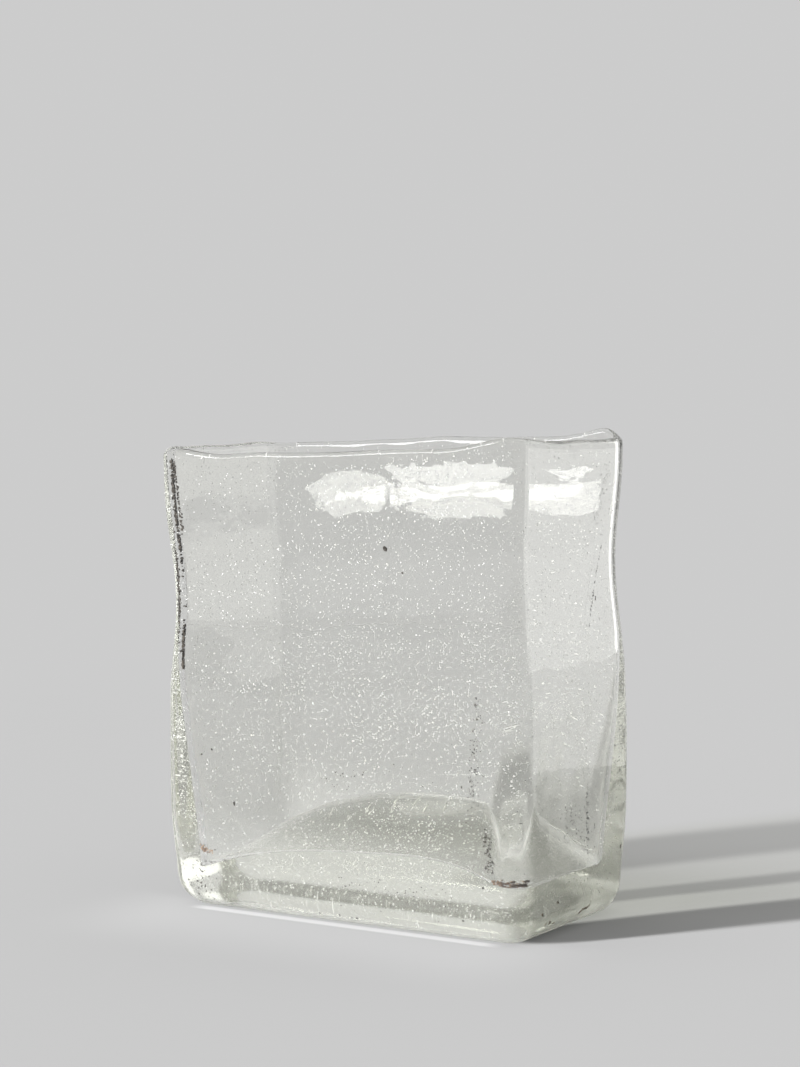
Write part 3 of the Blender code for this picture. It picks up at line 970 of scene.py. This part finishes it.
class GLASSVASE_OT_set_stage(bpy.types.Operator):
    """Lay the pale paper, and set the lamp and the room"""

    bl_idname = "glassvase.set_stage"
    bl_label = "Set the Stage"
    bl_options = {"REGISTER", "UNDO"}

    def execute(self, context):
        stage = context.scene.vase_stage
        self.lay_paper(stage)
        self.paint_room(context.scene, stage)
        self.stand_card(stage)
        self.hang_key(stage)
        context.scene.view_settings.view_transform = "Standard"
        paths = context.scene.cycles
        paths.max_bounces = 28
        paths.transmission_bounces = 24
        paths.glossy_bounces = 16
        paths.transparent_max_bounces = 32
        paths.caustics_refractive = False
        paths.caustics_reflective = False
        return {"FINISHED"}

    def lay_paper(self, stage):
        """A round sheet of paper that fades into the wall's colour away from the vase."""
        paper = bmesh.new()
        turns = np.linspace(0, 2 * np.pi, PAPER_SIDES + 1)[:-1]
        rings = []
        for radius in PAPER_RADII:
            spots = [(radius * math.cos(turn), radius * math.sin(turn), 0.0) for turn in turns]
            rings.append([paper.verts.new(spot) for spot in spots])
        paper.faces.new(rings[0])
        for near, far in zip(rings, rings[1:]):
            for here in range(PAPER_SIDES):
                after = (here + 1) % PAPER_SIDES
                paper.faces.new((near[here], far[here], far[after], near[after]))
        sheet = put("paper", mesh_data("paper", paper), self.paper_finish(stage))
        sheet.location.z = -PAPER_DROP

    def paper_finish(self, stage):
        """Matt paper near the vase; further off the flat colour of the wall, for rays that see it."""
        material, tree, paper = new_material("pale_paper")
        place = object_place(tree)
        along = add_node(tree, "ShaderNodeSeparateXYZ", {"Vector": place}).outputs

        # The paper is paler away from the lamp, so that it looks evenly lit.
        lamp = bearing(stage.key_azimuth, stage.key_elevation) * stage.key_distance
        from_lamp = vector_maths(tree, "DISTANCE", place, lamp)
        far_off = stage.key_distance
        evening = stepped(tree, from_lamp, far_off - 0.5, far_off + 0.5, 0.5, 1.5, "LINEAR")
        # Painted light: a bright line and a soft sheet of light are painted into the paper's colour in front of the
        # foot, where the glass would throw them.
        aside = maths(tree, "ABSOLUTE", along["X"])
        from_line = maths(tree, "ABSOLUTE", scaled(tree, along["Y"], 1.0, -FOOT_LINE_Y))
        line = product(tree, stepped(tree, from_line, 0.0040, 0.0012), stepped(tree, aside, 0.070, 0.060))
        sheet = product(tree, stepped(tree, along["Y"], -0.115, -0.050), stepped(tree, aside, 0.115, 0.060))
        sheet = product(tree, sheet, stepped(tree, along["Y"], -0.020, -0.034))
        painted_lighting = scaled(tree, sheet, stage.painted_front_glow, scaled(tree, line, stage.painted_foot_line, evening))
        tone = add_node(tree, "ShaderNodeVectorMath", {0: stage.floor_colour, "Scale": painted_lighting}, operation="SCALE")
        skin = {"Roughness": 0.9, "Specular IOR Level": 0.0, "Base Color": tone.outputs["Vector"]}
        feed(tree, paper, skin)

        # Painted light: under the vase, rays in its glass see the paper glow, a painted stand-in for the light that
        # the glass gathers there.
        scale = {0: place, 1: (1 / VASE_HALVES[0], 1 / VASE_HALVES[1], 1.0)}
        squeezed = add_node(tree, "ShaderNodeVectorMath", scale, operation="MULTIPLY")
        from_middle = vector_maths(tree, "LENGTH", squeezed.outputs["Vector"])
        in_glass = add_node(tree, "ShaderNodeLightPath").outputs["Is Transmission Ray"]
        glow = product(tree, stepped(tree, from_middle, 1.75, 1.15, 0.0, 0.9), in_glass)
        far = stepped(tree, vector_maths(tree, "LENGTH", place), 0.30, 0.75)
        flat = product(tree, maths(tree, "MAXIMUM", far, glow), seen_directly(tree))
        look = {"Color": opaque(stage.far_colour), "Strength": scaled(tree, glow, 0.26, 1.0)}
        wall = add_node(tree, "ShaderNodeEmission", look)
        mix = add_node(tree, "ShaderNodeMixShader", {0: flat, 1: paper.outputs[0], 2: wall.outputs[0]})
        tree.links.new(mix.outputs[0], tree.nodes["Material Output"].inputs["Surface"])
        return material

    def paint_room(self, scene, stage):
        """The room: a soft fill on the pieces, and light and dark walls for the glass to show."""
        world = bpy.data.worlds.new("room")
        world.use_nodes = True
        tree = world.node_tree
        place = add_node(tree, "ShaderNodeTexCoord").outputs["Generated"]
        seen = opaque(stage.far_colour)
        for azimuth, elevation, full, none, wall in ROOM_WALLS.values():
            toward = bearing(math.radians(azimuth), math.radians(elevation))
            nearness = vector_maths(tree, "DOT_PRODUCT", place, toward)
            near = stepped(tree, nearness, math.cos(math.radians(none)), math.cos(math.radians(full)))
            seen = blend(tree, near, seen, opaque(wall))
        light = blend(tree, seen_directly(tree), opaque(stage.fill_colour), seen)
        tree.links.new(light, tree.nodes["Background"].inputs["Color"])
        scene.world = world

    def stand_card(self, stage):
        """A white card behind the vase, outside the picture, that only the glass shows."""
        middle = bearing(stage.card_azimuth, 0.0) * stage.card_distance
        middle.z = CARD_FOOT + stage.card_height / 2
        wide, high = stage.card_width, stage.card_height
        self.hang_sheet("white_card", middle, wide, high, stage.card_colour, stage.card_glow)

    def hang_sheet(self, name, middle, width, height, shade, glow):
        """A slightly curved sheet that faces the vase's foot, and that only rays in the glass see."""
        ahead = Vector((middle.x, middle.y, 0.0)).normalized()
        side = Vector((0.0, 0.0, 1.0)).cross(ahead)
        up = Vector((0.0, 0.0, 1.0)) if middle.z < height else middle.cross(side).normalized()
        bend = -ahead * width * SHEET_BEND
        sheet = bmesh.new()
        rows = []
        steps = np.linspace(-1, 1, SHEET_STRIPS + 1)
        for level in (-height / 2, height / 2):
            row = [middle + side * across * width / 2 + bend * across**2 for across in steps]
            rows.append([sheet.verts.new(spot + up * level) for spot in row])
        for here in range(SHEET_STRIPS):
            sheet.faces.new((rows[0][here], rows[0][here + 1], rows[1][here + 1], rows[1][here]))
        material, tree, _ = new_material(name)
        look = {"Color": opaque(shade), "Strength": scaled(tree, seen_directly(tree), glow)}
        light = add_node(tree, "ShaderNodeEmission", look)
        tree.links.new(light.outputs[0], tree.nodes["Material Output"].inputs["Surface"])
        thing = put(name, mesh_data(name, sheet), material)
        thing.visible_camera = False
        thing.visible_diffuse = False
        thing.visible_shadow = False

    def hang_key(self, stage):
        """The tall soft lamp that throws the vase's shadow to the right."""
        toward = bearing(stage.key_azimuth, stage.key_elevation)
        data = bpy.data.lights.new("key_lamp", "AREA")
        data.shape = "RECTANGLE"
        data.size = stage.key_width
        data.size_y = stage.key_height
        data.energy = stage.key_power
        lamp = bpy.data.objects.new("key_lamp", data)
        lamp.visible_glossy = False
        lamp.visible_transmission = False
        lamp.location = toward * stage.key_distance
        lamp.rotation_mode = "QUATERNION"
        lamp.rotation_quaternion = (-toward).to_track_quat("-Z", "Y")
        bpy.context.scene.collection.objects.link(lamp)
        white = (1.0, 1.0, 1.0)
        wide, high = stage.window_width, stage.window_height
        self.hang_sheet("pale_window", lamp.location, wide, high, white, stage.window_glow)


class GLASSVASE_OT_place_camera(bpy.types.Operator):
    """Place the camera where the photo was taken from"""

    bl_idname = "glassvase.place_camera"
    bl_label = "Place the Camera"
    bl_options = {"REGISTER", "UNDO"}

    def execute(self, context):
        stage = context.scene.vase_stage
        a, p = stage.camera_azimuth, stage.camera_pitch
        data = bpy.data.cameras.new("photo_camera")
        data.sensor_width = 36.0
        data.lens = stage.focal_pixels / max(PHOTO_PIXELS) * data.sensor_width
        data.clip_start = 0.01
        camera = bpy.data.objects.new("photo_camera", data)
        side = Vector((math.cos(a), math.sin(a), 0.0))
        away = Vector((math.sin(a), -math.cos(a), 0.0))
        camera.location = away * stage.camera_distance + side * stage.camera_aside
        camera.location.z = stage.camera_height
        look = -away * math.cos(p) - Vector((0.0, 0.0, math.sin(p)))
        camera.rotation_mode = "QUATERNION"
        camera.rotation_quaternion = look.to_track_quat("-Z", "Y")
        context.scene.collection.objects.link(camera)
        context.scene.camera = camera
        return {"FINISHED"}


class GLASSVASE_PT_sidebar(bpy.types.Panel):
    """The vase's steps and sizes in the 3D view's sidebar"""

    bl_idname = "GLASSVASE_PT_sidebar"
    bl_label = "Glass Vase"
    bl_space_type = "VIEW_3D"
    bl_region_type = "UI"
    bl_category = "Glass Vase"

    def draw(self, context):
        layout = self.layout
        for operator in STEPS:
            layout.operator(operator.bl_idname)
        for group in ("vase_mould", "vase_glass", "vase_surface", "vase_bubbles", "vase_stage"):
            box = layout.box()
            settings = getattr(context.scene, group)
            for key in settings.__annotations__:
                box.prop(settings, key)


GROUPS = {
    "vase_mould": VaseMould,
    "vase_glass": VaseGlass,
    "vase_surface": BlownSurface,
    "vase_bubbles": SeedBubbles,
    "vase_stage": VaseStage,
}
STEPS = (
    GLASSVASE_OT_blow_body,
    GLASSVASE_OT_trap_bubbles,
    GLASSVASE_OT_scatter_stones,
    GLASSVASE_OT_set_stage,
    GLASSVASE_OT_place_camera,
)


def register():
    for group in GROUPS.values():
        bpy.utils.register_class(group)
    for name, group in GROUPS.items():
        setattr(bpy.types.Scene, name, PointerProperty(type=group))
    for step in STEPS:
        bpy.utils.register_class(step)
    bpy.utils.register_class(GLASSVASE_PT_sidebar)


def unregister():
    bpy.utils.unregister_class(GLASSVASE_PT_sidebar)
    for step in reversed(STEPS):
        bpy.utils.unregister_class(step)
    for name, group in GROUPS.items():
        delattr(bpy.types.Scene, name)
        bpy.utils.unregister_class(group)


def main():
    """Makes the vase and its stage."""
    register()
    bpy.ops.glassvase.blow_body()
    bpy.ops.glassvase.trap_bubbles()
    bpy.ops.glassvase.scatter_stones()
    bpy.ops.glassvase.set_stage()
    bpy.ops.glassvase.place_camera()


if __name__ == "__main__":
    main()
